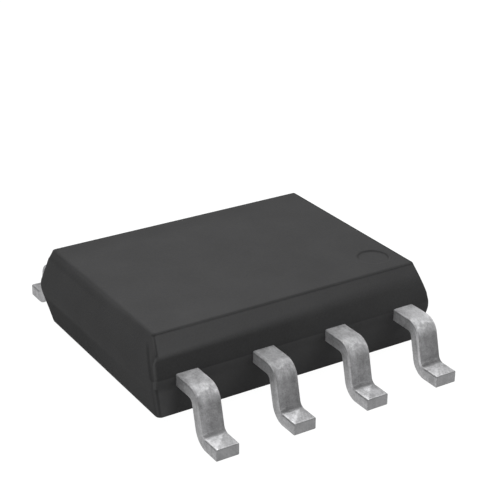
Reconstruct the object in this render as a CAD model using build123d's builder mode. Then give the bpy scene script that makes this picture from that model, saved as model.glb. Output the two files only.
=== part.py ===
from build123d import *
from math import radians, tan
import os

# An eight-lead small-outline power transistor: a moulded epoxy body, 4.89 mm long, with four
# formed leads along each side. It stands on its feet, with z = 0 as the seating plane and the
# origin at the middle of it. +X runs along the body, and the lead rows are on -Y and +Y.
# Lead 1 is at the +X end of the -Y row, beside the round mark. Leads 1 to 3 are the source,
# lead 4 is the gate, and the four leads of the +Y row are the drain. All sizes are in millimetres.

# Moulded body: its two halves meet level with the leads, in an upright band round the body
body_width = 3.82
standoff = 0.12
lower_half = 0.62
upper_half = 0.64
parting_band = 0.12
end_draft = 15.0
side_draft = 19.0
lower_draft = 12.0
bevel_height = 0.3
bevel_angle = 31.5
corner_radius = 0.04
edge_radius = 0.03
mark_diameter = 0.48
mark_depth = 0.03
mark_from_end = 0.565
mark_from_side = 0.785

# Sheet metal and the leads outside the body
sheet = 0.19
lead_width = 0.37
lead_pitch = 1.27
leads_per_side = 4
lead_to_end = 0.54
shoulder_run = 0.35
shoulder_bend = 0.085
leg_angle = 76.0
foot_bend = 0.1
foot_run = 0.286

# Frames inside the body: the walls are the epoxy between them and the outside
bar_wall = 0.325
bar_end_wall = 0.22
bar_overhang = 0.26
post_depth = 0.42
post_gap = 0.4
pad_gap = 0.215
pad_end_wall = 0.395
drain_bar_depth = 0.415
downset = 0.2
downset_angle = 45.0
downset_bend = 0.06
plan_radius = 0.05
lock_notch = 0.13

# Silicon die, set in from the edges of the pad, and the solder under it
die_thickness = 0.2
die_front_margin = 0.12
die_back_margin = 0.14
die_end_margin = 0.45
solder_thickness = 0.025
solder_skirt = 0.05

# Aluminium ribbons, each bonded once to the source bar and stitched twice to the die
ribbons = 3
ribbon_width = 0.5
ribbon_thickness = 0.1
heel_bend = 0.08
loop_bend = 0.15
ribbon_side_margin = 0.2
bond_length = 0.22
first_stitch = 0.3
second_stitch = 0.95
main_loop_rise = 0.15
stitch_loop_rise = 0.08
loop_angle = 45.0

# Fine wire from the die to the gate post
gate_wire_diameter = 0.05
gate_ball_diameter = 0.12
gate_ball_height = 0.04
gate_pad_inset = 0.24
gate_loop_rise = 0.19
gate_landing_angle = 40.0
gate_bend = 0.07

os.makedirs("parts", exist_ok=True)

# Heights
lead_plane = standoff + lower_half
body_top = lead_plane + upper_half
half_sheet = sheet / 2
lead_top = lead_plane + half_sheet
pad_plane = lead_plane - downset
pad_top = pad_plane + half_sheet
die_bottom = pad_top + solder_thickness
die_top = die_bottom + die_thickness

# Lead places along X, and the lengths that follow from them
row = [(i - (leads_per_side - 1) / 2) * lead_pitch for i in range(leads_per_side)]
gate_x = row[0]
source_row = row[1:]
between_drains = [(a + b) / 2 for a, b in zip(row, row[1:])]
between_sources = [(a + b) / 2 for a, b in zip(source_row, source_row[1:])]
body_length = row[-1] - row[0] + 2 * lead_to_end
bar_length = body_length - 2 * bar_end_wall
pad_length = body_length - 2 * pad_end_wall
die_length = pad_length - 2 * die_end_margin

# Places across the body, measured from its middle line
bar_edge = body_width / 2 - bar_wall
post_inner = bar_edge - post_depth
post_middle = (bar_edge + post_inner) / 2
pad_front = post_inner - pad_gap
downset_top = bar_edge - drain_bar_depth
downset_foot = downset_top - downset / tan(radians(downset_angle))
die_width = pad_front + downset_foot - die_front_margin - die_back_margin
die_y = die_front_margin + die_width / 2 - pad_front

# A lead's centre line: out along the shoulder, down the leg and out along the foot
half_leg = radians(leg_angle / 2)
shoulder_corner = body_width / 2 + shoulder_run + (shoulder_bend + half_sheet) * tan(half_leg)
foot_corner = shoulder_corner + (lead_plane - half_sheet) / tan(radians(leg_angle))
lead_end = foot_corner + (foot_bend + half_sheet) * tan(half_leg) + foot_run
lead_line = [
    Vector(shoulder_corner, lead_plane),
    Vector(foot_corner, half_sheet),
    Vector(lead_end, half_sheet),
]
lead_bends = [shoulder_bend, foot_bend]

# The drain's line starts on the lowered die pad, and the others at the inner edge of their posts
drain_line = [
    Vector(-pad_front, pad_plane),
    Vector(downset_foot, pad_plane),
    Vector(downset_top, lead_plane),
] + lead_line
drain_bends = [downset_bend, downset_bend] + lead_bends
post_line = [Vector(post_inner, lead_plane)] + lead_line

# Side views are drawn with x pointing out of the lead row and y pointing up
far_side = Plane.YZ
near_side = Plane(origin=(0, 0, 0), x_dir=(0, -1, 0), z_dir=(-1, 0, 0))


def bent_strip(centre_line, inner_radii, thickness=sheet):
    """Corners and corner radii of the outline of a bent strip, one inner radius for each bend."""
    upper, lower = [], []
    upper_radii, lower_radii = [], []
    last = len(centre_line) - 1
    for i, corner in enumerate(centre_line):
        before = (centre_line[max(i, 1)] - centre_line[max(i, 1) - 1]).normalized()
        after = (centre_line[min(i, last - 1) + 1] - centre_line[min(i, last - 1)]).normalized()
        mitre = Vector(-before.Y - after.Y, before.X + after.X)
        step = mitre * (thickness / mitre.length**2)
        upper.append(corner + step)
        lower.append(corner - step)
        if 0 < i < last:
            inner = inner_radii[i - 1]
            turns_up = before.X * after.Y > before.Y * after.X
            outer = inner + thickness
            upper_radii.append(inner if turns_up else outer)
            lower_radii.append(outer if turns_up else inner)
    corners = upper + lower[::-1]
    radii = [0] + upper_radii + [0, 0] + lower_radii[::-1] + [0]
    return corners, radii


# Drain frame: die pad, bar and the four leads of the +Y row, stamped and formed from one sheet
with BuildPart() as drain_frame:
    with BuildSketch(far_side):
        with BuildLine():
            corners, radii = bent_strip(drain_line, drain_bends)
            FilletPolyline(*corners, radius=radii, close=True)
        make_face()
    extrude(amount=body_length / 2, both=True)
    with BuildSketch(Plane.XY):
        with Locations((0, (downset_top - pad_front) / 2)):
            RectangleRounded(pad_length, downset_top + pad_front, plan_radius)
        with Locations((0, (downset_top + bar_edge) / 2)):
            RectangleRounded(bar_length, drain_bar_depth, plan_radius)
        with Locations(*[(x, (downset_top + lead_end) / 2) for x in row]):
            Rectangle(lead_width, lead_end - downset_top)
        with Locations(*[(x, bar_edge) for x in between_drains]):
            Circle(lock_notch, mode=Mode.SUBTRACT)
        with Locations((-pad_length / 2, die_y), (pad_length / 2, die_y)):
            Circle(lock_notch, mode=Mode.SUBTRACT)
    extrude(amount=body_top, mode=Mode.INTERSECT)
drain_frame.part.label = "drain_frame"

# Source frame: the bonding bar behind the -Y wall and its three leads
bar_left = source_row[0] - lead_width / 2 - bar_overhang
bar_right = bar_length / 2

with BuildPart() as source_frame:
    with BuildSketch(near_side):
        with BuildLine():
            corners, radii = bent_strip(post_line, lead_bends)
            FilletPolyline(*corners, radius=radii, close=True)
        make_face()
    extrude(amount=body_length / 2, both=True)
    with BuildSketch(Plane.XY):
        with Locations(((bar_left + bar_right) / 2, -post_middle)):
            RectangleRounded(bar_right - bar_left, post_depth, plan_radius)
        with Locations(*[(x, -(post_middle + lead_end) / 2) for x in source_row]):
            Rectangle(lead_width, lead_end - post_middle)
        with Locations(*[(x, -bar_edge) for x in between_sources]):
            Circle(lock_notch, mode=Mode.SUBTRACT)
    extrude(amount=body_top, mode=Mode.INTERSECT)
source_frame.part.label = "source_frame"

# Gate lead: its bonding post, set apart from the source bar, and its one lead
post_left = -bar_length / 2
post_right = bar_left - post_gap
post_x = (post_left + post_right) / 2

with BuildPart() as gate_lead:
    with BuildSketch(near_side):
        with BuildLine():
            corners, radii = bent_strip(post_line, lead_bends)
            FilletPolyline(*corners, radius=radii, close=True)
        make_face()
    extrude(amount=body_length / 2, both=True)
    with BuildSketch(Plane.XY):
        with Locations((post_x, -post_middle)):
            RectangleRounded(post_right - post_left, post_depth, plan_radius)
        with Locations((gate_x, -(post_middle + lead_end) / 2)):
            Rectangle(lead_width, lead_end - post_middle)
    extrude(amount=body_top, mode=Mode.INTERSECT)
gate_lead.part.label = "gate_lead"

# Solder under the die, with a skirt that slopes down to the pad all round
with BuildPart() as die_attach:
    with BuildSketch(Plane.XY.offset(pad_top)):
        with Locations((0, die_y)):
            Rectangle(die_length + 2 * solder_skirt, die_width + 2 * solder_skirt)
    with BuildSketch(Plane.XY.offset(die_bottom)):
        with Locations((0, die_y)):
            Rectangle(die_length, die_width)
    loft()
die_attach.part.label = "die_attach"

with BuildPart() as silicon_die:
    with BuildSketch(Plane.XY.offset(die_bottom)):
        with Locations((0, die_y)):
            Rectangle(die_length, die_width)
    extrude(amount=die_thickness)
silicon_die.part.label = "silicon_die"

# Source ribbons: spread evenly over the length that the source bar and the die share, on one
# centre line that lies flat at each bond and arches between them
bar_level = lead_top + ribbon_thickness / 2
die_level = die_top + ribbon_thickness / 2
die_front = -pad_front + die_front_margin
main_peak = die_level + main_loop_rise
stitch_peak = die_level + stitch_loop_rise
loop_slope = tan(radians(loop_angle))
first_heel = die_front + first_stitch - bond_length / 2
first_toe = first_heel + bond_length
second_heel = die_front + second_stitch - bond_length / 2
ribbon_line = [
    Vector(-post_middle - bond_length / 2, bar_level),
    Vector(-post_middle + bond_length / 2, bar_level),
    Vector(first_heel - main_loop_rise / loop_slope, main_peak),
    Vector(first_heel, die_level),
    Vector(first_toe, die_level),
    Vector((first_toe + second_heel) / 2, stitch_peak),
    Vector(second_heel, die_level),
    Vector(second_heel + bond_length, die_level),
]
ribbon_bends = [heel_bend, loop_bend, heel_bend, heel_bend, loop_bend, heel_bend]

first_ribbon = max(bar_left, -die_length / 2) + ribbon_side_margin + ribbon_width / 2
last_ribbon = min(bar_right, die_length / 2) - ribbon_side_margin - ribbon_width / 2
ribbon_pitch = (last_ribbon - first_ribbon) / (ribbons - 1)

ribbon_parts = []
for i in range(ribbons):
    with BuildPart() as source_ribbon:
        with BuildSketch(far_side.offset(first_ribbon + i * ribbon_pitch)):
            with BuildLine():
                corners, radii = bent_strip(ribbon_line, ribbon_bends, ribbon_thickness)
                FilletPolyline(*corners, radius=radii, close=True)
            make_face()
        extrude(amount=ribbon_width / 2, both=True)
    source_ribbon.part.label = f"source_ribbon_{i + 1}"
    ribbon_parts.append(source_ribbon.part)

# Gate wire: a ball on the die, a loop, and a slanted landing on the gate post
gate_pad = Vector(gate_pad_inset - die_length / 2, die_y - die_width / 2 + gate_pad_inset)
gate_path = Vector(post_x, -post_middle) - gate_pad
gate_plane = Plane(origin=gate_pad, x_dir=gate_path, z_dir=gate_path.cross(Vector(0, 0, 1)))
gate_loop_top = die_top + gate_ball_height + gate_loop_rise
gate_end = lead_top - gate_wire_diameter
gate_landing = gate_path.length - (gate_loop_top - gate_end) / tan(radians(gate_landing_angle))

with BuildPart() as gate_wire:
    with BuildSketch(Plane.XY.offset(die_top)):
        with Locations(gate_pad):
            Circle(gate_ball_diameter / 2)
    extrude(amount=gate_ball_height)
    with BuildLine(gate_plane):
        FilletPolyline(
            (0, die_top + gate_ball_height / 2),
            (0, gate_loop_top),
            (gate_landing, gate_loop_top),
            (gate_path.length, gate_end),
            radius=gate_bend,
        )
    with BuildSketch(Plane.XY.offset(die_top + gate_ball_height / 2)):
        with Locations(gate_pad):
            Circle(gate_wire_diameter / 2)
    sweep()
    split(bisect_by=Plane.XY.offset(lead_top), keep=Keep.TOP)
gate_wire.part.label = "gate_wire"

# Body: five levels of rounded rectangle, joined by flat sides. Each row gives a height and how far
# the ends, the -Y side and the +Y side have moved in from the upright band, which lies between
# the second and the third level. The sides lean in above and below it. The -Y side has the bevel
# that marks the row of lead 1, from the fourth level up.
half_band = parting_band / 2
lower_rise = lower_half - half_band
upper_rise = upper_half - half_band
shelf = upper_rise - bevel_height
lower_inset = lower_rise * tan(radians(lower_draft))
end_slope = tan(radians(end_draft))
side_slope = tan(radians(side_draft))
bevel_inset = bevel_height * tan(radians(bevel_angle))
levels = [
    (standoff, lower_inset, lower_inset, lower_inset),
    (lead_plane - half_band, 0, 0, 0),
    (lead_plane + half_band, 0, 0, 0),
    (body_top - bevel_height, shelf * end_slope, shelf * side_slope, shelf * side_slope),
    (body_top, upper_rise * end_slope, shelf * side_slope + bevel_inset, upper_rise * side_slope),
]
embedded = [
    drain_frame.part,
    source_frame.part,
    gate_lead.part,
    die_attach.part,
    silicon_die.part,
    gate_wire.part,
] + ribbon_parts

with BuildPart() as mould_body:
    for height, end_inset, near_inset, far_inset in levels:
        with BuildSketch(Plane.XY.offset(height)):
            with Locations((0, (near_inset - far_inset) / 2)):
                RectangleRounded(
                    body_length - 2 * end_inset,
                    body_width - near_inset - far_inset,
                    corner_radius,
                )
    loft(ruled=True)
    fillet(mould_body.faces().sort_by(Axis.Z)[-1].edges(), edge_radius)
    fillet(mould_body.faces().sort_by(Axis.Z)[0].edges(), edge_radius)
    with BuildSketch(Plane.XY.offset(body_top)):
        with Locations((body_length / 2 - mark_from_end, mark_from_side - body_width / 2)):
            Circle(mark_diameter / 2)
    extrude(amount=-mark_depth, mode=Mode.SUBTRACT)
    for piece in embedded:
        add(piece, mode=Mode.SUBTRACT)
mould_body.part.label = "mould_body"

for piece in [mould_body.part] + embedded:
    export_step(piece, f"parts/{piece.label}.step")
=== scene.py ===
# %% [markdown]
# # A power transistor in a small moulded package
#
# This script dresses the CAD model of an eight-lead surface-mount transistor. The real one is a
# block of black epoxy, 4.89 mm long, moulded round a silicon die and the copper frames that carry
# it. The frames come out through the walls as leads, which are plated with tin and bent down to
# stand on a circuit board.
#
# The CAD model settles every place and size. It could be shown as it is, but its bends are made
# of flat facets and its edges are sharp, and at this scale soft edges are most of what the eye
# sees. So the body and the leads are worked out again here as fine surfaces of the same size,
# and the pieces inside keep their CAD shapes.

import math

import bmesh
import bpy
import numpy as np
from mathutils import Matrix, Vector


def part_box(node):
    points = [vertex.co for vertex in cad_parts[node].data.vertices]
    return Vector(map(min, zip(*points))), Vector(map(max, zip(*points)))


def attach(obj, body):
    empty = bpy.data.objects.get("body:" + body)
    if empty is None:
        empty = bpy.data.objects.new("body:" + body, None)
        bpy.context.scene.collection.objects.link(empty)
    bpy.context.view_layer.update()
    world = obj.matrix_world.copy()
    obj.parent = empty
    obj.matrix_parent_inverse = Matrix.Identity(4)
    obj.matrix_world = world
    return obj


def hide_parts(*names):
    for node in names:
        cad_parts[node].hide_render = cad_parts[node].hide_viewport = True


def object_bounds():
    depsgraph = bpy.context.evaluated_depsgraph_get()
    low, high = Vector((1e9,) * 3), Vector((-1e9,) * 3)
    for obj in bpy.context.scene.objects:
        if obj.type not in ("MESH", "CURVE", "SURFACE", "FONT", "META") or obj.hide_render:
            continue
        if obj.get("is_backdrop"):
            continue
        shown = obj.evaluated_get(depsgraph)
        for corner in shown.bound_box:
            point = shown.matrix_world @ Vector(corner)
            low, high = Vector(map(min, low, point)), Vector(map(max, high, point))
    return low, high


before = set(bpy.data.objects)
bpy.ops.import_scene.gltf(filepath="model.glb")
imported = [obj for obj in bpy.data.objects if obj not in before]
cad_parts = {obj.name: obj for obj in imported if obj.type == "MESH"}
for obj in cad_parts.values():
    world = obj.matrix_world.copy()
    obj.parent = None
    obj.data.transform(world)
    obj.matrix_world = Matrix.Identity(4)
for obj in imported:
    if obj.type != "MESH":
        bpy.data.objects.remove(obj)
cad_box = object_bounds()
print("CAD pieces:", ", ".join(sorted(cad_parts)))

# %% [markdown]
# ## Sizes
#
# Everything is worked out in millimetres, as on the package's drawing, and is turned into metres
# when a mesh is made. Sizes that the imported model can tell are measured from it, so that the new
# surfaces land exactly where the CAD pieces are. The others, such as the sheet's thickness and the
# leads' width and pitch, repeat the drawing. X runs along the body, Y across it from the bevelled
# side to the far side, and Z up from the board.

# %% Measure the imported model
MM = 0.001


def cad_corners(node):
    """Lowest and highest corner of a CAD piece in millimetres."""
    return [[float(v) / MM for v in corner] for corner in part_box(node)]


body_low, body_high = cad_corners("mould_body")
frame_high = cad_corners("drain_frame")[1]
half_length, half_width, body_top = body_high
standoff = body_low[2]
lead_reach = frame_high[1]
die_top = cad_corners("silicon_die")[1][2]
sheet, lead_width, lead_pitch, shoulder_run = 0.19, 0.37, 1.27, 0.35
lead_plane = frame_high[2] - sheet / 2
lead_rows = (np.arange(4) - 1.5) * lead_pitch
print(f"body {2 * half_length:.2f} x {2 * half_width:.2f} mm")
print(f"from {standoff:.2f} to {body_top:.2f} mm high")
print(f"leads {lead_width} x {sheet} mm at {lead_plane:.2f} mm, tips {lead_reach:.3f} mm out")

# %% [markdown]
# ## Surfaces from grids
#
# A surface is a function of two parameters. Its points are worked out on a grid as one array with
# rows and columns, where the columns run round the piece and meet again, and the rows run along
# it. Each end of the grid is closed by triangles to one last point, the pole. Modelling with boxes
# and cutters could give these shapes too, but a grid keeps every edge softened by its own amount.


# %% Turn a grid of points into closed faces
def grid_faces(rows, columns):
    """Quads between neighbouring rows and columns, with the last column joined to the first, and
    fans to two poles, which are the two vertices after the grid's own."""
    row, column = np.meshgrid(np.arange(rows - 1), np.arange(columns), indexing="ij")
    here = row * columns + column
    beside = row * columns + (column + 1) % columns
    quads = np.stack([here, beside, beside + columns, here + columns], axis=-1).reshape(-1, 4)
    around = np.arange(columns)
    after = (around + 1) % columns
    first_pole = np.full(columns, rows * columns)
    last_row = (rows - 1) * columns
    first_fan = np.stack([after, around, first_pole], axis=-1)
    last_fan = np.stack([last_row + around, last_row + after, first_pole + 1], axis=-1)
    return quads.tolist() + first_fan.tolist() + last_fan.tolist()


print("a grid of 3 rows and 4 columns closes with", len(grid_faces(3, 4)), "faces")


# %% Put a surface into a mesh
def mesh_piece(name, points, faces, smooth, fields):
    """A mesh object from points in millimetres, with one value of each field for each point. It
    rides on root, the only body that a part without joints has."""
    mesh = bpy.data.meshes.new(name)
    mesh.from_pydata((points * MM).tolist(), [], faces)
    mesh.polygons.foreach_set("use_smooth", smooth)
    for field, values in fields.items():
        kind, key = ("FLOAT", "value") if values.ndim == 1 else ("FLOAT_VECTOR", "vector")
        layer = mesh.attributes.new(field, kind, "POINT")
        layer.data.foreach_set(key, values.astype(np.float32).ravel())
    mesh.update()
    piece = bpy.data.objects.new(name, mesh)
    bpy.context.scene.collection.objects.link(piece)
    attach(piece, "root")
    print(f"{name}: {len(points)} points, {len(faces)} faces")
    return piece


# %% [markdown]
# ## The moulded body
#
# Epoxy is pressed into a steel mould whose two halves meet level with the leads, in a low upright
# band. Above and below it every wall leans in, so that the body lets go of the mould, and the side
# with the round mark leans in more steeply near the top. That bevel tells a board assembler which
# way round the part goes.
#
# The side view of each wall is a line with corners. Softening replaces each corner by a parabola
# that leaves the straight a little before it and joins again a little after. The setback is a
# number for each corner, and here it also changes along the walls: the bevel's lower edge is
# crisp at the left end and melts away to the right, and the left end's top edge is roundest in
# its middle.


# %% Soften the corners of a line
def soften(corners, setbacks, arc_steps, run_steps):
    """Samples of a line whose inner corners are softened, for any number of lines at once.

    corners is [corner, line, 2] and setbacks is [inner corner, line]. At each inner corner C, A is
    a setback before C and B is a setback after it, and the line between them is the parabola
    (1 - t)^2 A + 2 t (1 - t) C + t^2 B. Between parabolas it is straight.
    """
    step = corners[1:] - corners[:-1]
    heading = step / np.linalg.norm(step, axis=-1, keepdims=True)
    before = corners[1:-1] - heading[:-1] * setbacks[..., None]
    after = corners[1:-1] + heading[1:] * setbacks[..., None]
    starts = np.concatenate([corners[:1], after])
    ends = np.concatenate([before, corners[-1:]])
    run = np.linspace(0, 1, run_steps + 1)[:, None, None]
    arc = np.linspace(0, 1, arc_steps + 2)[1:-1, None, None]
    rows = []
    for i in range(len(starts)):
        rows.append((1 - run) * starts[i] + run * ends[i])
        if i < len(before):
            leaving = (1 - arc) ** 2 * before[i] + 2 * arc * (1 - arc) * corners[i + 1]
            rows.append(leaving + arc**2 * after[i])
    return np.concatenate(rows)


right_angle = np.array([[[0.0, 0.0]], [[1.0, 0.0]], [[1.0, 1.0]]])
print("middle of a softened right angle:", soften(right_angle, np.array([[0.2]]), 1, 1)[2, 0])

# %% Columns round the body
side_steps, end_steps, corner_steps = 96, 64, 7


def columns_round():
    """For each column: its place along the length from -1 to 1, its place across from 0 at the
    bevelled side to 1 at the far side, and the outward direction in the plan view. They start on
    the bevelled side and go round by the right end, the far side and the left end."""
    along = np.linspace(-1, 1, side_steps)
    across = np.linspace(0, 1, end_steps)
    turn = np.linspace(0, np.pi / 2, corner_steps + 2)[1:-1]
    cos, sin = np.cos(turn), np.sin(turn)
    stretches = [
        (along, 0, 0, -1),
        (1, 0, sin, -cos),
        (1, across, 1, 0),
        (1, 1, cos, sin),
        (-along, 1, 0, 1),
        (-1, 1, -sin, cos),
        (-1, 1 - across, -1, 0),
        (-1, 0, -cos, -sin),
    ]
    rows = [np.array(np.broadcast_arrays(*part), float) for part in stretches]
    return np.concatenate(rows, axis=1)


along, across, out_x, out_y = columns_round()
columns = len(along)
print(columns, "columns round the body")

# %% Corners of the wall profiles
half_band = 0.06
bevel_height = 0.3
upper_rise = body_top - lead_plane - half_band
shelf = upper_rise - bevel_height
wall_angles = {"end": 15.0, "side": 19.0, "lower": 12.0, "bevel": 31.5}
lean = {name: math.tan(math.radians(angle)) for name, angle in wall_angles.items()}
lower_inset = (lead_plane - half_band - standoff) * lean["lower"]
end_inset, side_inset = upper_rise * lean["end"], upper_rise * lean["side"]
end_shelf_inset, side_shelf_inset = 0.8 * shelf * lean["end"], shelf * lean["side"]
near_inset = side_shelf_inset + bevel_height * lean["bevel"]
rim_width, left_rim_width = 0.05, 0.14


def wall_corners(shelf_inset, top_inset, rim=rim_width):
    """Corners of one wall's side view from the underside to the top, as inset and height. The first
    and the last lie a rim's width in, on the flat underside and the flat top."""
    return np.array([
        (lower_inset + rim_width, standoff),
        (lower_inset, standoff),
        (0, lead_plane - half_band),
        (0, lead_plane + half_band),
        (shelf_inset, body_top - bevel_height),
        (top_inset, body_top),
        (top_inset + rim, body_top),
    ])


near_wall = wall_corners(side_shelf_inset, near_inset)[:, None]
far_wall = wall_corners(side_shelf_inset, side_inset)[:, None]
right_wall = wall_corners(end_shelf_inset, end_inset)[:, None]
left_wall = wall_corners(end_shelf_inset, end_inset, rim=left_rim_width)[:, None]
print(f"the top lies in by {end_inset:.3f} at the ends, {near_inset:.3f} and {side_inset:.3f} mm")


# %% Soft wall profiles
arc_steps, run_steps = 7, 4
edge_setback, band_setback = 0.012, 0.055


def fade(low, high, value):
    """0 below low, 1 above high, and the smooth curve 3 t^2 - 2 t^3 between."""
    t = np.clip((value - low) / (high - low), 0, 1)
    return t * t * (3 - 2 * t)


def wall_rows(corners, shelf_setback, top_setback):
    """A wall's softened side view at every column, from its corners, which may differ by column."""
    lines = np.broadcast_to(corners, (len(corners), columns, 2))
    setbacks = (edge_setback, band_setback, band_setback, shelf_setback, top_setback)
    setbacks = np.array([np.broadcast_to(setback, columns) for setback in setbacks])
    return soften(lines, setbacks, arc_steps, run_steps)


leftness = (1 - along) / 2
bevel_setback = 0.02 + 0.21 * fade(-0.5, 0.7, along)
left_setback = 0.03 + 0.05 * fade(0.05, 0.45, across) * fade(0.95, 0.55, across)
end_setback = leftness * left_setback + (1 - leftness) * 0.014
end_wall = leftness[:, None] * left_wall + (1 - leftness[:, None]) * right_wall
near_rows = wall_rows(near_wall, shelf_setback=bevel_setback, top_setback=edge_setback)
far_rows = wall_rows(far_wall, shelf_setback=0.05, top_setback=edge_setback)
end_rows = wall_rows(end_wall, shelf_setback=0.15, top_setback=end_setback)
print(len(near_rows), "rows up the walls")

# %% [markdown]
# The four walls become one closed sheet. In the plan view every row is a rectangle with round
# corners, and a column on a corner mixes the heights of its two walls by the squares of its
# outward direction, which add up to one. The radius of each upright corner changes a little with
# height: beside the bevel's left end it is smallest, so that the bevel keeps its crisp outline.
#
# The top is flat apart from the round mark, a shallow dimple left by the mould. Its rows are rings:
# circles round the mark's centre that open out into the body's outline, so the dimple's rim is
# smooth without a finer grid anywhere else.

# %% The body's surface
mark_centre = np.array([half_length - 0.565, 0.785 - half_width])
mark_radius, mark_depth = 0.24, 0.026


def body_rows():
    """Points of the walls: the corner circle's centre plus its radius times the outward direction,
    where the centre is the wall's inset and the radius in from the outline. The radii of the four
    upright corners, in millimetres, are near_left and so on."""
    side_rows = np.where(across[None, :, None] < 0.5, near_rows, far_rows)
    height = end_rows[..., 1]
    near_left = 0.045 + 0.035 * fade(body_top - 0.2, body_top - 0.35, height)
    near_right = 0.055 + 0.035 * fade(body_top, lead_plane, height)
    far_left = 0.055 + 0.045 * fade(lead_plane, standoff, height)
    far_right = 0.035
    near_radius = np.where(along < 0, near_left, near_right)
    far_radius = np.where(along < 0, far_left, far_right)
    radius = np.where(across < 0.5, near_radius, far_radius)
    reach_x = half_length - end_rows[..., 0] - radius
    near_y = near_rows[..., 0] - half_width + radius
    far_y = half_width - far_rows[..., 0] - radius
    x = along * reach_x + radius * out_x
    y = (1 - across) * near_y + across * far_y + radius * out_y
    z = out_x**2 * height + out_y**2 * side_rows[..., 1]
    return np.stack([x, y, z], axis=-1)


walls = body_rows()
under = np.array([walls[0] * [share, share, 1] for share in (0.3, 0.65)])
print("walls:", walls.shape[0], "rows of", walls.shape[1], "points")


# %% The top and its mark
def top_rings(border):
    """Rings from the outline in to the mark. A ring is a mix of the outline and a circle round the
    mark's centre, and inside the mark it is a circle, lowered by a smooth step of its radius. The
    step is widest on the left, where the dimple's rim is blurred."""
    spoke = border[:, :2] - mark_centre
    spoke = spoke / np.linalg.norm(spoke, axis=1, keepdims=True)
    blur = 0.022 + 0.03 * fade(-0.2, 0.9, -spoke[:, 0])
    circle = mark_centre + 1.25 * mark_radius * spoke
    rings = []

    def add_ring(places, height):
        rings.append(np.column_stack([places, np.full(columns, height)]))

    for share in (0.85, 0.7, 0.55, 0.4, 0.28, 0.17, 0.08, 0.02):
        add_ring(share * border[:, :2] + (1 - share) * circle, body_top)
    for step in np.linspace(0, 1, 11):
        radius = mark_radius + blur * (0.5 - step)
        add_ring(mark_centre + radius[:, None] * spoke, body_top - mark_depth * fade(0, 1, step))
    for radius in (0.18, 0.12, 0.06):
        add_ring(mark_centre + radius * spoke, body_top - mark_depth)
    return np.array(rings)


top = top_rings(walls[-1])
body_points = np.concatenate([under, walls, top])
poles = np.array([[0, 0, standoff], [*mark_centre, body_top - mark_depth]])
print(f"mark: {2 * mark_radius} mm across and {mark_depth} mm deep, in {len(top)} rings")

# %% [markdown]
# Each point also carries numbers that the materials read later. On the body's walls, one says how
# much a point faces the bevelled side and one how much it faces an end, so that painted light and
# shade can pass from one to the other round the corners. Both are squares of the outward direction,
# and both fade to zero over the edges of the top and the underside.

# %% Make the body
# on_walls is 1 on the walls and 0 on the flat rows, and fades over the soft edges between them.
row_count = len(body_points)
arc_fade = fade(0, 1, np.arange(1, arc_steps + 1) / (arc_steps + 1))[:, None]
flat_below, flat_above = len(under) + run_steps + 1, len(top) + run_steps + 1
on_walls = np.ones((row_count, 1))
on_walls[:flat_below] = 0
on_walls[flat_below:flat_below + arc_steps] = arc_fade
on_walls[-flat_above:] = 0
on_walls[-flat_above - arc_steps:-flat_above] = 1 - arc_fade
facing_near_rows = on_walls * np.where(out_y < 0, out_y**2, 0)
facing_end_rows = on_walls * out_x**2
body_faces = grid_faces(row_count, columns)
body = mesh_piece(
    "moulded_body",
    np.concatenate([body_points.reshape(-1, 3), poles]),
    body_faces,
    np.ones(len(body_faces), bool),
    {
        "facing_near": np.append(facing_near_rows.ravel(), [0, 0]),
        "facing_end": np.append(facing_end_rows.ravel(), [0, 0]),
    },
)
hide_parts("mould_body")

# %% [markdown]
# ## The leads
#
# The frames are stamped from copper sheet, moulded in, plated and then bent in a forming tool.
# Stamping rounds the edges on one face of the sheet and leaves the other face's edges sharper,
# and the tips are cut off last.
#
# A lead is a profile carried along a path. The path is the middle of the sheet in the side view:
# shoulder, bend, leg, bend and foot. The profile is the sheet's cut, a rectangle with soft
# corners. Each point also remembers where it was before bending, so that scratches and streaks
# can follow the metal round its bends.

# %% The path of a lead
leg_angle = math.radians(76)
bend_radii = (0.085 + sheet / 2, 0.1 + sheet / 2)
wall_cut = 0.155
leg_height = lead_plane - sheet / 2
bend_setbacks = sum(bend_radii) * math.tan(leg_angle / 2)
leg_run = leg_height / math.sin(leg_angle) - bend_setbacks
foot_run = lead_reach - half_width - shoulder_run - bend_setbacks - leg_height / math.tan(leg_angle)
path_parts = [
    (wall_cut + shoulder_run, 0, 14),
    (bend_radii[0] * leg_angle, -leg_angle, 20),
    (leg_run, 0, 12),
    (bend_radii[1] * leg_angle, leg_angle, 20),
    (foot_run, 0, 12),
]


def lead_path():
    """Distance, outward place, height and slope along the sheet's middle line.

    Each part has a length, a turn and a number of steps. The slope changes evenly with distance,
    and a step of the line is the chord of its small arc: its length times sin(h) / h for half the
    step's turn h, in the direction of the step's middle slope.
    """
    distance, slope = [-wall_cut], [0.0]
    for length, turn, steps in path_parts:
        share = np.arange(1, steps + 1) / steps
        distance.extend(distance[-1] + share * length)
        slope.extend(slope[-1] + share * turn)
    distance, slope = np.array(distance), np.array(slope)
    half_turn = np.diff(slope) / 2
    chord = np.diff(distance) * np.sinc(half_turn / np.pi)
    middle = slope[:-1] + half_turn
    out = half_width - wall_cut + np.append(0, np.cumsum(chord * np.cos(middle)))
    height = lead_plane + np.append(0, np.cumsum(chord * np.sin(middle)))
    return distance, out, height, slope


distance, path_out, path_height, path_slope = lead_path()
part_ends = np.cumsum([length for length, _, _ in path_parts]) - wall_cut
shoulder_end, leg_start, leg_end, foot_start, strip_end = (float(end) for end in part_ends)
sole = path_height[-1] - sheet / 2
print(f"lead: {strip_end:.3f} mm of strip, tip at {path_out[-1]:.4f} mm, sole at {sole:.5f} mm")


# %% The profile of a lead
upper_radius, lower_radius = 0.024, 0.014
profile_quarters = [
    (1, 1, upper_radius),
    (-1, 1, upper_radius),
    (-1, -1, lower_radius),
    (1, -1, lower_radius),
]


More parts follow.
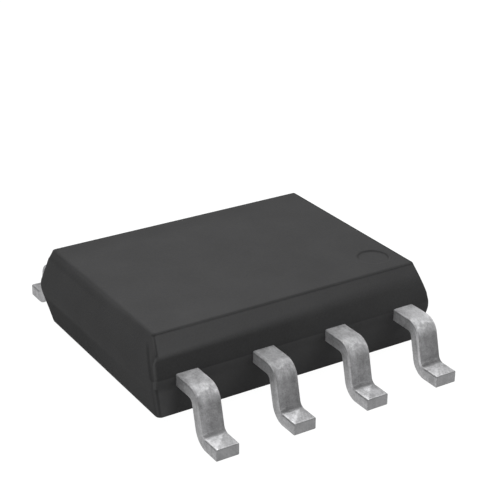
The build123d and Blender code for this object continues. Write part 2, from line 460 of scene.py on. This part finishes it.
def sheet_profile(shrink):
    """Places round the sheet's cut, across and through the sheet, for each amount of shrinking.

    Each corner is a quarter circle: its centre plus its radius times the outward direction. The
    two upper corners are rounder than the lower two. Between corners the profile is straight.
    """
    turn = np.linspace(0, np.pi / 2, 7)
    shrink = shrink[:, None]
    corners = []
    for quarter, (sign_x, sign_t, radius) in enumerate(profile_quarters):
        angle = turn + quarter * np.pi / 2
        soft = np.maximum(radius - shrink, 0.002)
        corners.append(np.stack([
            sign_x * (lead_width / 2 - shrink - soft) + soft * np.cos(angle),
            sign_t * (sheet / 2 - shrink - soft) + soft * np.sin(angle),
        ], axis=-1))
    parts = []
    for corner, following, steps in zip(corners, corners[1:] + corners[:1], (9, 5, 9, 5)):
        share = (np.arange(1, steps) / steps)[:, None]
        parts += [corner, corner[:, -1:] + share * (following[:, :1] - corner[:, -1:])]
    return np.concatenate(parts, axis=1)


print(sheet_profile(np.zeros(1)).shape[1], "points round the sheet's cut")

# %% Carry the profile along the path
tip_soft = 0.007


def lead_surface(x, side):
    """Points of one lead, its strip coordinates and its cut-face mask. side is -1 for the bevelled
    side's row and 1 for the far row.

    A point is the path's place, plus the sheet's normal times the thickness place, and the across
    place is along X. The last rows shrink the profile by tip_soft * (1 - cos a) while the path
    stops tip_soft * (1 - sin a) short, which is a small round edge, and the tip is closed flat.
    """
    angle = np.linspace(0, np.pi / 2, 4)
    back = tip_soft * (1 - np.sin(angle))
    keep = distance < distance[-1] - tip_soft - 1e-6
    s = np.append(distance[keep], distance[-1] - back)
    out = np.append(path_out[keep], path_out[-1] - back)
    height = np.append(path_height[keep], path_height[-1] + 0 * back)
    slope = np.append(path_slope[keep], 0 * back)
    shrink = np.append(0 * distance[keep], tip_soft * (1 - np.cos(angle)))
    profile = sheet_profile(shrink)
    profile = np.concatenate([profile, profile[-1:] * 0.7, profile[-1:] * 0.4])
    width, through = profile[..., 0], profile[..., 1]
    s, out, height, slope = (np.append(v, [v[-1], v[-1]])[:, None] for v in (s, out, height, slope))
    y = out - through * np.sin(slope)
    z = height + through * np.cos(slope)
    points = np.stack([x - side * width, side * y, z], axis=-1)
    strip = np.stack([-side * width, s + 0 * width, through], axis=-1)
    cut = np.zeros(width.shape)
    cut[-3:] = 1
    ends = np.array([[x, side * out[0, 0], height[0, 0]], [x, side * out[-1, 0], height[-1, 0]]])
    end_strip = np.array([[0, s[0, 0], 0], [0, s[-1, 0], 0]])
    return (
        np.concatenate([points.reshape(-1, 3), ends]),
        np.concatenate([strip.reshape(-1, 3), end_strip]),
        np.append(cut.ravel(), [0, 1]),
        width.shape,
    )


print(len(lead_surface(0, 1)[0]), "points for each lead")

# %% [markdown]
# Inside the body the frames widen into the die pad and the bonding bars. Nothing of that can be
# seen, so those parts are the CAD piece's own mesh, cut off just inside the wall and closed there.
# Each new lead starts at that cut, and pad and leads together are one piece.


# %% Cut the inner part out of a CAD piece
def inner_part(node, side):
    """Points and faces of a CAD piece up to the cut plane inside the wall."""
    copy = bmesh.new()
    copy.from_mesh(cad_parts[node].data)
    bmesh.ops.remove_doubles(copy, verts=copy.verts, dist=1e-7)
    plane = side * (half_width - wall_cut) * MM
    everything = copy.verts[:] + copy.edges[:] + copy.faces[:]
    at_wall = {"plane_co": (0, plane, 0), "plane_no": (0, side, 0)}
    cut = bmesh.ops.bisect_plane(copy, geom=everything, dist=1e-9, clear_outer=True, **at_wall)
    rim = [part for part in cut["geom_cut"] if isinstance(part, bmesh.types.BMEdge)]
    bmesh.ops.holes_fill(copy, edges=rim)
    bmesh.ops.recalc_face_normals(copy, faces=copy.faces)
    copy.verts.index_update()
    points = np.array([v.co for v in copy.verts]) / MM
    faces = [[v.index for v in face.verts] for face in copy.faces]
    copy.free()
    print(f"{node}: {len(faces)} faces kept inside the wall")
    return points, faces


# %% [markdown]
# Each lead's upper face is given its own tones of painted light and shade, a little different from
# lead to lead: four, at the shoulder, the top and the bottom of the leg and the foot, where the leg
# is darkest, and a fifth for the painted highlight on the foot. The far row's lead at the left
# stands a hair's breadth further left than its place on the drawing.

# %% Make the three frames
first_far_shift = 0.045
tone_places = [shoulder_end + 0.05, leg_start + 0.01, foot_start - 0.1, foot_start + 0.02]
# painted light and shade of the upper face for each lead of the near row, darkest on the leg, and
# last the tone of its painted highlight on the foot
row_tones = [
    (0.41, 0.19, 0.19, 0.48, 0.72),
    (0.325, 0.165, 0.156, 0.45, 0.745),
    (0.37, 0.19, 0.18, 0.43, 0.71),
    (0.48, 0.173, 0.155, 0.43, 0.54),
]
# the same painted tones for the far row
far_tones = (0.38, 0.21, 0.19, 0.22, 0.26)


def formed_frame(name, node, side, lead_numbers):
    """One piece from the inner part of a CAD frame and its finely made leads."""
    points, faces = inner_part(node, side)
    smooth = [False] * len(faces)
    strip = np.tile([0.0, -1.0, 0.0], (len(points), 1))
    cut = np.zeros(len(points))
    tone, foot_highlight_tone = np.full(len(points), 0.4), np.full(len(points), 0.4)
    for i in lead_numbers:
        x = lead_rows[i] - (first_far_shift if side > 0 and i == 0 else 0)
        lead_points, lead_strip, lead_cut, (rows, count) = lead_surface(x, side)
        new_faces = [[v + len(points) for v in face] for face in grid_faces(rows, count)]
        faces += new_faces
        smooth += [True] * len(new_faces)
        points = np.concatenate([points, lead_points])
        strip = np.concatenate([strip, lead_strip])
        cut = np.append(cut, lead_cut)
        # this lead's painted light and shade, and its foot's painted highlight
        painted_tones = row_tones[i] if side < 0 else far_tones
        tone = np.append(tone, np.interp(lead_strip[:, 1], tone_places, painted_tones[:4]))
        foot_highlight_tone = np.append(foot_highlight_tone, np.full(len(lead_points), painted_tones[4]))
    fields = {"strip": strip, "cut_face": cut, "face_tone": tone, "foot_highlight_tone": foot_highlight_tone}
    piece = mesh_piece(name, points, faces, smooth, fields)
    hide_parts(node)
    return piece


drain = formed_frame("formed_drain_frame", "drain_frame", 1, [0, 1, 2, 3])
source = formed_frame("formed_source_frame", "source_frame", -1, [1, 2, 3])
gate = formed_frame("formed_gate_lead", "gate_lead", -1, [0])

# %% [markdown]
# ## Shader sums
#
# A material's pattern is mostly arithmetic: noise times a number, one mask less another. The small
# class below wraps a socket, so that such sums can be written as ordinary expressions, each of
# which adds its Math node. Everything that isn't arithmetic goes through one method, node.


# %% A socket that can be reckoned with
def math_method(operation, reflected=False):
    """A method that adds a Math node for a socket and other values, in that order or, for the
    reflected forms such as 1 - mask, the other way round."""

    def method(self, *others):
        values = (*others, self) if reflected else (self, *others)
        return self.node("ShaderNodeMath", {"operation": operation}, dict(enumerate(values)))

    return method


class Socket:
    """An output socket of a node in one material's tree."""

    __add__ = __radd__ = math_method("ADD")
    __sub__ = math_method("SUBTRACT")
    __rsub__ = math_method("SUBTRACT", reflected=True)
    __mul__ = __rmul__ = math_method("MULTIPLY")
    __abs__ = math_method("ABSOLUTE")
    maximum = math_method("MAXIMUM")
    root = math_method("SQRT")

    def __init__(self, tree, socket=None):
        self.tree = tree
        self.socket = socket

    def __neg__(self):
        return self * -1

    def node(self, kind, settings=None, values=None, output=0):
        """Adds a node: its settings first, then the values or links of its sockets."""
        made = self.tree.nodes.new(kind)
        for name, value in (settings or {}).items():
            setattr(made, name, value)
        for name, value in (values or {}).items():
            if isinstance(value, Socket):
                self.tree.links.new(value.socket, made.inputs[name])
            else:
                made.inputs[name].default_value = value
        return Socket(self.tree, made.outputs[output])

    def rise(self, low, high):
        """0 below low, 1 above high, smooth between."""
        values = {"Value": self, "From Min": low, "From Max": high}
        return self.node("ShaderNodeMapRange", {"interpolation_type": "SMOOTHSTEP"}, values)

    def fall(self, low, high):
        """1 below low, 0 above high, smooth between."""
        return 1 - self.rise(low, high)

    def blend(self, low, high):
        """A colour mixed by this factor from low to high."""
        low, high = [c if isinstance(c, Socket) else (*c, 1) for c in (low, high)]
        return self.node("ShaderNodeMix", {"data_type": "RGBA"}, {0: self, 6: low, 7: high}, 2)

    def noise(self, place, scale, detail=3.0, roughness=0.5):
        """Noise from about 0 to 1 at a place, with scale features to a unit of that place."""
        values = {"Vector": place, "Scale": scale, "Detail": detail, "Roughness": roughness}
        return self.node("ShaderNodeTexNoise", {}, values)


# %% Vectors and attributes
def attribute(start, name, output=2):
    """What each point of the mesh carries under a name: a number, or a vector with output=1."""
    return start.node("ShaderNodeAttribute", {"attribute_name": name}, output=output)


def place_in_mm(start):
    """Where a point is on the object, in millimetres."""
    place = start.node("ShaderNodeTexCoord", output=3)
    return start.node("ShaderNodeVectorMath", {"operation": "SCALE"}, {0: place, 3: 1 / MM})


def axes(vector):
    """The three numbers of a vector, along X, Y and Z."""
    first = vector.node("ShaderNodeSeparateXYZ", {}, {0: vector})
    return [Socket(first.tree, output) for output in first.socket.node.outputs]


def vector_of(*numbers):
    """A vector from three numbers, of which the first is a socket."""
    return numbers[0].node("ShaderNodeCombineXYZ", {}, dict(enumerate(numbers)))


def stretch(vector, scales):
    """A vector times a number for each axis."""
    return vector.node("ShaderNodeVectorMath", {"operation": "MULTIPLY"}, {0: vector, 1: scales})


# %% A material to start from
def start_material(name, **constants):
    """A material with its shader's constants set, a socket to build on and the shader."""
    material = bpy.data.materials.new(name)
    material.use_nodes = True
    tree = material.node_tree
    shader = tree.nodes["Principled BSDF"]
    for socket, value in constants.items():
        shader.inputs[socket.replace("_", " ")].default_value = value
    print("material:", name)
    return material, Socket(tree), shader


def link(shader, **sockets):
    """Feeds shader sockets that change over the surface."""
    for name, value in sockets.items():
        value.tree.links.new(value.socket, shader.inputs[name.replace("_", " ")])


def grey(tone, blue):
    """A grey colour of a tone, with its blue multiplied by a number near 1."""
    return tone.node("ShaderNodeCombineColor", {}, {0: tone, 1: tone, 2: tone * blue})


def relief(height, depth):
    """A bumped normal from a height between 0 and 1 and its depth in millimetres."""
    values = {"Height": height, "Distance": depth * MM, "Strength": 1.0}
    return height.node("ShaderNodeBump", {}, values)


# %% [markdown]
# ## Moulded epoxy
#
# The body is epoxy filled with silica, and its mould is spark-eroded, so it is matte and very
# slightly mottled, with a grain far finer than a tenth of a millimetre. A single grey would do from
# far off, but close up no wall here has quite one tone. The bevel is paler by a painted highlight,
# the walls carry painted light and shade, and thin dark lines follow the edges, of which the one
# beside the bevel is painted shade.
#
# All of that is painted by the place on the body, so it stays where it is when the camera moves.
# Each cell below makes one tone or factor, mostly from three distances: how far a point is below
# the top, over the plane of the leads, and from the left end.

# %% Places on the body
epoxy, start, shader = start_material("moulded_epoxy", Specular_IOR_Level=0.012)
place = place_in_mm(start)
x, y, z = axes(place)
below_top = body_top - z
over_leads = z - lead_plane
from_left_end = x + half_length
facing_near = attribute(start, "facing_near")
facing_end = attribute(start, "facing_end")
cloud = start.noise(place, 1.3, 3.0)
grain = start.noise(place, 38.0, 2.0, 0.6)
print(f"top at {body_top:.2f}, leads at {lead_plane:.2f}, left end at {-half_length:.3f} mm")

# %% [markdown]
# The top is a little paler at the left and darker along its far side. It falls off in painted
# shade over the left end's round edge, and on two dark lines along its outline: a soft one of
# painted shade beside the bevel and a clear one along the far and right sides. The round mark's
# blurred rim has painted shade, darkest on its left.

# %% Tone of the top
top_half_length = half_length - end_inset
top_near, top_far = near_inset - half_width, half_width - side_inset
# painted shade: a soft dark line along the top beside the bevel's edge
near_shade_line = (0.38 - 0.1 * x.rise(0.5, 2.0)) * abs(y - (top_near + 0.01)).fall(0.008, 0.06)
far_line = (top_far - y).fall(0.02, 0.03)
right_line = (top_half_length - x).fall(0.02, 0.03)
lines = near_shade_line.maximum(0.6 * far_line.maximum(right_line))
# painted shade where the top falls off over the left end's round edge
left_edge_shade = (x + top_half_length).fall(0.005, 0.075)
tone_slope = 1.03 - 0.02 * x + 0.012 * x * y - 0.07 * y.rise(1.2, 1.6)
top_factor = tone_slope * (1 - lines) * (1 - 0.19 * left_edge_shade)
top_factor = 1 + (top_factor - 1) * below_top.fall(0.01, 0.03)

# painted shade on the round mark's blurred rim, darkest on its left
from_x, from_y = x - mark_centre[0], y - mark_centre[1]
from_rim = (from_x * from_x + from_y * from_y).root() - mark_radius
mark_shade_factor = 1 - 0.18 * abs(from_rim).fall(0.0, 0.035) * (-from_x).rise(0.08, 0.22)
print(f"top: {2 * top_half_length:.3f} x {top_far - top_near:.3f} mm")
print(f"mark at {mark_centre.round(3)}")

# %% [markdown]
# On the bevelled side the bevel is paler by a painted highlight, with an edge that is crisp at the
# left and melts away to the right. The band below it is darker by painted shade, and the lower half
# has painted light from below, palest at the left corner. The ends have painted light along the
# parting band and painted shade in the lower half, most of all towards the far side, where a faint
# line of painted shade also runs below the round top edge.

# %% Tones of the walls
# painted highlight on the bevel, its lower edge crisp at the left and soft at the right
bevel_edge = bevel_height - 0.055 - 0.02 * x
bevel_blur = 0.085 + 0.02 * x
on_bevel = below_top.fall(bevel_edge - bevel_blur, bevel_edge + bevel_blur)
# painted shade on the band below the bevel
band_shade = 0.0185 - 0.0085 * x.rise(-0.6, 2.0)
upper_highlight_and_shade = on_bevel * (0.0107 - 0.0023 * x) - (1 - on_bevel) * band_shade
# painted light from below on the lower half, strongest at the left corner
corner_light_from_below = from_left_end.fall(0.2, 0.45) * (0.0136 - 0.06 * over_leads)
lower_light_from_below = 0.001 + over_leads.fall(-0.18, -0.02) * (0.008 + corner_light_from_below)
upper = over_leads.rise(0.05, 0.07)
near_light_and_shade = upper * upper_highlight_and_shade + (1 - upper) * lower_light_from_below

# painted light along the end's parting band, painted shade over the end, most in its lower half and
# on a line below the round top edge
parting = abs(over_leads).fall(0.04, 0.1)
ledge_shade = abs(below_top - 0.13).fall(0.0, 0.07) * y.rise(-0.8, 1.2)
low_end_shade = over_leads.fall(-0.24, -0.1) * (0.0035 + 0.0175 * y.rise(-1.5, 1.0))
end_light_and_shade = 0.0033 * parting - 0.0045 - 0.006 * ledge_shade - low_end_shade
print(f"bevel {bevel_height} mm high, parting band {2 * half_band} mm high at {lead_plane:.2f} mm")

# %% [markdown]
# The upright corner at the left of the bevelled side has pale strips, painted highlights where its
# rounding catches the light, and dark lines, each a band of the corner's turn at some of its
# heights. The turn is 0 on the end and 1 on the bevelled side. One line lies on the end itself and
# leans in as it rises. A mark is a mask times the share by which it makes the epoxy paler or
# darker.


# %% Highlights and lines on the left corner
def turned(rising, falling):
    """1 on a band of the corner, between a rise and a fall of its turn."""
    return facing_near.rise(*rising) * facing_near.fall(*falling)


upper_half = over_leads.rise(0.04, 0.07)
lower_half = over_leads.fall(-0.08, -0.05)
beside_bevel = below_top.fall(bevel_height - 0.06, bevel_height)
below_bevel = upper_half * (1 - beside_bevel)
on_band = (1 - upper_half) * (1 - lower_half)
from_leaning = y + half_width - 0.46 + 0.65 * below_top
end_line = abs(from_leaning).fall(0.015, 0.07) * facing_near.fall(0.2, 0.5)
end_line = end_line * upper_half * below_top.rise(0.1, 0.24)
# painted highlights are the three pale strips on the corner's rounding
corner_highlights_and_lines = {
    "highlight below the bevel": 0.45 * turned((0.35, 0.5), (0.75, 0.95)) * below_bevel,
    "highlight on the parting band": 0.5 * turned((0.1, 0.3), (0.6, 0.9)) * on_band,
    "highlight on the lower half": 0.2 * turned((0.02, 0.2), (0.4, 0.6)) * lower_half,
    "line on the end": -0.3 * end_line,
    "line beside the bevel": -0.3 * turned((0.3, 0.5), (0.93, 0.99)) * beside_bevel,
    "line on the lower half": -0.3 * turned((0.55, 0.75), (0.9, 0.99)) * lower_half,
}
corner_factor = 1 + from_left_end.fall(0.45, 0.65) * sum(corner_highlights_and_lines.values())
print("corner:", ", ".join(corner_highlights_and_lines))

# %% Mix the epoxy
base_tone, mottling = 0.056, 0.009
mottled = base_tone + mottling * (cloud * 0.5 + grain * 0.5).rise(0.3, 0.7)
# the walls' painted light and shade are added here, and the corner's painted highlights and the
# top's painted shade are multiplied in below
epoxy_tone = mottled + facing_near * near_light_and_shade + facing_end * end_light_and_shade
epoxy_tone = epoxy_tone * corner_factor * top_factor * mark_shade_factor
epoxy_colour = grey(epoxy_tone, 1.01)
link(shader, Base_Color=epoxy_colour, Roughness=0.5 + 0.12 * grain, Normal=relief(grain, 0.003))
body.data.materials.append(epoxy)
print(epoxy.name, "has", len(epoxy.node_tree.nodes), "nodes")

# %% [markdown]
# ## Tin plating
#
# Tin plating is a soft, pale metal. It comes out of the bath matte, and the forming tool then rubs
# it, which leaves streaky wear along the leg and small curved marks on the bends. Each face of the
# strip has its own tone of painted light and shade, and over that the tin has painted highlights,
# a paler strip down the sides, light lines on some edges and a bright patch on each foot, and
# painted shade on other edges and in the lower bend. The patterns read the strip coordinates, so
# they run along the metal and round its bends. The tips were cut after plating and are greyer, and
# inside the body the copper is bare.

# %% Places on the strip
tin, start, shader = start_material("tin_plating")
strip = attribute(start, "strip", output=1)
sideways, onward, through = axes(strip)
from_left = sideways + lead_width / 2
from_right = lead_width / 2 - sideways
from_side = lead_width / 2 - abs(sideways)
from_face = sheet / 2 - through
place_x = axes(place_in_mm(start))[0]
lead_x = place_x - sideways
print(f"leg from {leg_start:.3f} to {leg_end:.3f} mm along the strip")
print(f"foot from {foot_start:.3f} mm")

# %% Patterns of wear
shift = vector_of(lead_x * 2.3, lead_x * 1.1, 0.0)
spot = start.node("ShaderNodeVectorMath", {"operation": "ADD"}, {0: strip, 1: shift})
slant = vector_of((sideways + onward * 0.55) * 34.0, (onward - sideways) * 2.0, place_x * 2.0)
mottle = start.noise(spot, 9.0, 4.0, 0.6)
speckle = start.noise(spot, 38.0, 3.0, 0.7)
cloudy = start.noise(stretch(spot, (1.0, 0.55, 1.0)), 6.0, 2.0, 0.5)
streak = start.noise(stretch(spot, (26.0, 2.5, 26.0)), 1.0, 3.0, 0.6)
brushed = start.noise(slant, 1.0, 3.0, 0.6)
print(len(start.tree.nodes), "nodes for places and patterns")


def across_mark(at, bow, width):
    """1 on a thin mark that lies across the strip at a distance, bowed and a little wavy."""
    line = onward - at - sideways * sideways * bow - (mottle - 0.5) * 0.12
    return abs(line).fall(width * 0.4, width)


# %% [markdown]
# Each mark is a mask times the share by which it makes the metal paler or darker. The scuffs are
# the tool's wear, and the other marks are painted highlights and painted shade on the edges, sides,
# leg and lower bend. The masks are products of steps: some distance from the lead's left or right
# edge, some distance from its upper face, and some stretch of the strip.

# %% Wear, highlights and shade on the tin
upper_face = from_face.fall(0.002, 0.012)
leg = onward.rise(shoulder_end + 0.07, leg_start + 0.01)
leg = leg * onward.fall(leg_end + 0.04, leg_end + 0.19)
before_leg = onward.fall(leg_start - 0.09, leg_start + 0.11)
into_leg = onward.fall(leg_start + 0.01, leg_start + 0.16)
# painted shade on the round left edge of the shoulder and the upper bend
left_rim_shade = from_left.fall(0.02, 0.045) * from_face.fall(0.02, 0.045) * before_leg
# painted highlight along the right edge of the shoulder and the upper bend
right_rim_highlight = from_right.fall(0.02, 0.045) * (1 - from_side.fall(0.001, 0.015)) * into_leg
# painted highlight down the leg's side faces, just below the upper edge
side_highlight = from_side.fall(0.015, 0.035) * from_face.fall(0.04, 0.06) * (1 - upper_face) * leg
scuffs = 0.3 * across_mark(shoulder_end + 0.09, 1.8, 0.02)
scuffs = scuffs + 0.2 * across_mark(shoulder_end + 0.15, -1.2, 0.014)
# painted shade in the crease of the lower bend, and a thin painted highlight across its start
lower_bend_shade = across_mark(leg_end + 0.11, 1.0, 0.07) * from_left.fall(0.035, 0.385)
gleam = across_mark(leg_end + 0.06, 0.8, 0.016) * from_left.fall(0.085, 0.235)
# the scuffs are wear; the rest are painted highlights, also down the left of the leg, and painted
# shade
wear_highlights_and_shade = {
    "left rim shade": -0.3 * left_rim_shade,
    "right rim highlight": 0.22 * right_rim_highlight * upper_face,
    "side highlight": (0.35 + 0.12 * place_x) * side_highlight,
    "highlight down the leg": 0.25 * from_left.fall(0.065, 0.205) * leg * upper_face,
    "scuffs": scuffs * upper_face * mottle.rise(0.42, 0.56),
    "lower_bend_shade": -0.3 * lower_bend_shade * upper_face,
    "gleam": 0.2 * gleam * upper_face,
}
print("wear, highlights and shade:", ", ".join(wear_highlights_and_shade))

# %% Tone of the metal
# painted light and shade: the side faces have one tone, and each stretch of the upper face has its
# lead's own
side_tone = 0.388 + 0.013 * place_x
tin_tone = attribute(start, "face_tone") * upper_face + side_tone * (1 - upper_face)
for share in wear_highlights_and_shade.values():
    tin_tone = tin_tone * (1 + share)

foot = onward.rise(foot_start - 0.06, foot_start + 0.01)
# painted highlight: a bright patch on the foot's upper face beside the lower bend, with a slanting
# edge
fan = from_left - 0.265 + (onward - foot_start) * 0.85 + (streak - 0.5) * 0.08
foot_highlight = foot * upper_face * fan.fall(-0.02, 0.03)
tin_tone = tin_tone + (attribute(start, "foot_highlight_tone") - tin_tone) * foot_highlight
foot_rim = foot * from_left.fall(0.009, 0.02) * from_face.fall(0.015, 0.035)
tin_tone = tin_tone * (1 - 0.45 * foot_rim)

cut_tone, cut_share = 0.28, 0.9
cut_face = attribute(start, "cut_face")
tin_tone = tin_tone + (cut_tone - tin_tone) * cut_face * cut_share
# painted shade on the cut tip just below its upper edge
tin_tone = tin_tone * (1 - 0.3 * cut_face * from_face.fall(0.01, 0.029))
print(f"pressed patch: {strip_end - foot_start:.3f} mm long and {lead_width} mm wide at most")

# %% Mix the tin
wear = (mottle - 0.5) * 0.8 + (cloudy - 0.5) * 0.7 + (speckle - 0.5) * 1.1
wear = wear + (streak - 0.5) * (0.25 + 0.4 * leg) + (brushed - 0.5) * 0.7 * foot * (1 - foot_highlight)
tin_tone = tin_tone * (1 + wear * (1 - 0.5 * cut_face))
bare_copper = (0.52, 0.25, 0.15)
link(
    shader,
    Base_Color=onward.rise(-0.3, -0.1).blend(bare_copper, grey(tin_tone, 1.02)),
    Metallic=0.5 - 0.1 * cut_face,
    Roughness=0.42 + 0.15 * mottle,
    Normal=relief(mottle * 0.6 + speckle * 0.4, 0.006),
)
for piece in (drain, source, gate):
    piece.data.materials.append(tin)
print(tin.name, "has", len(tin.node_tree.nodes), "nodes")

# %% [markdown]
# ## The pieces inside
#
# The pieces inside keep their CAD shapes and get their own finishes: a polished silicon die whose
# aluminium face is crossed by the fine lines of its cells, grey solder, soft aluminium ribbons
# that are brushed along their length, and a gold wire. None of it can be seen from outside, but a
# cutaway would show it.

# %% Silicon
silicon, start, shader = start_material("silicon", Metallic=0.2, Coat_Weight=0.3)
place = place_in_mm(start)
bands = {"wave_type": "BANDS", "bands_direction": "X"}
cells = start.node("ShaderNodeTexWave", bands, {"Vector": place, "Scale": 6.0})
bare = start.noise(place, 12.0).blend((0.10, 0.11, 0.14), (0.14, 0.15, 0.19))
lined = cells.rise(0.1, 0.3).blend((0.35, 0.35, 0.36), (0.62, 0.62, 0.63))
on_face = axes(place)[2].rise(die_top - 0.005, die_top - 0.0005)
link(shader, Base_Color=on_face.blend(bare, lined), Roughness=0.22 + 0.1 * cells)
print(f"die face at {die_top:.3f} mm")

# %% Solder
solder, start, shader = start_material("solder", Metallic=0.9)
lumps = start.noise(place_in_mm(start), 14.0, 4.0)
solder_colour = lumps.blend((0.33, 0.34, 0.35), (0.52, 0.53, 0.54))
link(shader, Base_Color=solder_colour, Roughness=0.3 + 0.25 * lumps, Normal=relief(lumps, 0.006))

# %% Ribbons and wire
ribbon_metal, start, shader = start_material("ribbon_aluminium", Metallic=1.0)
lengthwise = start.noise(stretch(place_in_mm(start), (60.0, 3.0, 3.0)), 1.0, 3.0)
ribbon_colour = lengthwise.blend((0.70, 0.71, 0.72), (0.84, 0.85, 0.86))
roughness = 0.25 + 0.2 * lengthwise
link(shader, Base_Color=ribbon_colour, Roughness=roughness, Normal=relief(lengthwise, 0.002))

gold, start, shader = start_material("bond_gold", Metallic=1.0)
drawn = start.noise(place_in_mm(start), 30.0, 2.0)
gold_colour = drawn.blend((0.80, 0.55, 0.18), (0.90, 0.66, 0.28))
link(shader, Base_Color=gold_colour, Roughness=0.18 + 0.1 * drawn)

# %% Finish the CAD pieces
inner_finishes = {"silicon_die": silicon, "die_attach": solder, "gate_wire": gold}
inner_finishes.update({f"source_ribbon_{i}": ribbon_metal for i in (1, 2, 3)})
for node, finish in inner_finishes.items():
    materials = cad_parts[node].data.materials
    for i in range(len(materials)):
        materials[i] = finish
print("finished:", ", ".join(inner_finishes))

# %% [markdown]
# ## Floor, background and light
#
# The part stands on a pale floor in front of white. The camera, and whatever mirrors the
# surroundings, sees the floor and the world as plain white, while the light on the part comes
# from a broad lamp overhead and weak ones at the sides. A little of the floor's own shading is
# left in, so the part still has its shadow. White is a glow of 1, and the floor's is a little
# stronger to make up for that.


# %% Rays that see the background
def sees_background(start):
    """1 for camera, mirror and glass rays, and 0 for all others."""
    rays = ("Is Camera Ray", "Is Glossy Ray", "Is Transmission Ray")
    camera, mirror, glass = [start.node("ShaderNodeLightPath", output=ray) for ray in rays]
    return camera.maximum(mirror).maximum(glass)


# %% Floor
floor_reach, floor_level = 0.5, -0.002 * MM
floor_signs = [(-1, -1), (1, -1), (1, 1), (-1, 1)]
floor_mesh = bpy.data.meshes.new("floor")
floor_corners = [(u * floor_reach, v * floor_reach, floor_level) for u, v in floor_signs]
floor_mesh.from_pydata(floor_corners, [], [(0, 1, 2, 3)])
floor = bpy.data.objects.new("floor", floor_mesh)
bpy.context.scene.collection.objects.link(floor)
floor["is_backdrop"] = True

white_share, glow_strength = 0.86, 1.15
paper, start, shader = start_material(
    "pale_floor", Base_Color=(0.55, 0.55, 0.55, 1), Roughness=0.9, Specular_IOR_Level=0.0
)
glow = start.node("ShaderNodeEmission", {}, {"Color": (1, 1, 1, 1), "Strength": glow_strength})
shade = Socket(start.tree, shader.outputs[0])
factor = sees_background(start) * white_share
surface = start.node("ShaderNodeMixShader", {}, {0: factor, 1: shade, 2: glow})
start.tree.links.new(surface.socket, start.tree.nodes["Material Output"].inputs["Surface"])
floor_mesh.materials.append(paper)
print(f"floor: {2 * floor_reach} m square, {-floor_level / MM:.3f} mm under the feet")

# %% World
ambient = 0.3
world = bpy.data.worlds.new("plain_light")
world.use_nodes = True
bpy.context.scene.world = world
start = Socket(world.node_tree)
strength = sees_background(start) * (1 - ambient) + ambient
light = start.node("ShaderNodeBackground", {}, {"Color": (1, 1, 1, 1), "Strength": strength})
world_nodes = world.node_tree.nodes
world_output = world_nodes.get("World Output") or world_nodes.new("ShaderNodeOutputWorld")
world.node_tree.links.new(light.socket, world_output.inputs["Surface"])
print("ambient light", ambient)


# %% Lamps
def broad_lamp(name, towards, level, width):
    """A sun lamp shining from a direction. A level of 1 lights a facing surface to its colour."""
    lamp = bpy.data.lights.new(name, "SUN")
    lamp.energy = np.pi * level
    lamp.angle = np.radians(width)
    holder = bpy.data.objects.new(name, lamp)
    bpy.context.scene.collection.objects.link(holder)
    x, y, z = np.array(towards) / np.linalg.norm(towards)
    holder.rotation_euler = (np.arctan2(np.hypot(x, y), z), 0, np.arctan2(x, -y))
    print(f"lamp {name}: level {level}, {width} degrees wide")


broad_lamp("overhead", towards=(-0.2, 0.2, 0.96), level=0.72, width=60)
broad_lamp("front", towards=(0.484, -0.72, 0.49), level=0.08, width=25)
broad_lamp("low", towards=(0.2, -0.95, 0.12), level=0.1, width=40)

# %% [markdown]
# ## Camera
#
# The camera's place, tilt and lens were found by matching the package's known corners to a
# photograph, so the picture can be laid over it. The part is tiny, so the near limit of what the
# camera sees is brought in as well.

# %% Camera
camera_place = np.array([-10.20707, -16.70853, 10.49040])
camera_turn = [65.33735, -0.36528, -32.03867]
focal_length, sensor_width = 99.823, 36
lens = bpy.data.cameras.new("camera")
lens.sensor_width = sensor_width
lens.lens = focal_length
lens.clip_start = 0.001
lens.clip_end = 5
camera = bpy.data.objects.new("camera", lens)
camera.location = camera_place * MM
camera.rotation_euler = np.radians(camera_turn)
bpy.context.scene.collection.objects.link(camera)
bpy.context.scene.camera = camera
bpy.context.scene.view_settings.view_transform = "Standard"
print(f"camera {np.linalg.norm(camera_place):.1f} mm from where the body's middle stands")

# %% [markdown]
# ## Last look
#
# The new surfaces must fill the same box as the CAD model.

# %% Compare the boxes and finish
new_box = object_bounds()
boxes = {
    "cad": [[float(v) for v in corner] for corner in cad_box],
    "visual": [[float(v) for v in corner] for corner in new_box],
}
difference = np.abs(np.array(boxes["cad"]) - np.array(boxes["visual"])).max() / MM
print(f"largest difference of the boxes: {difference:.6f} mm")
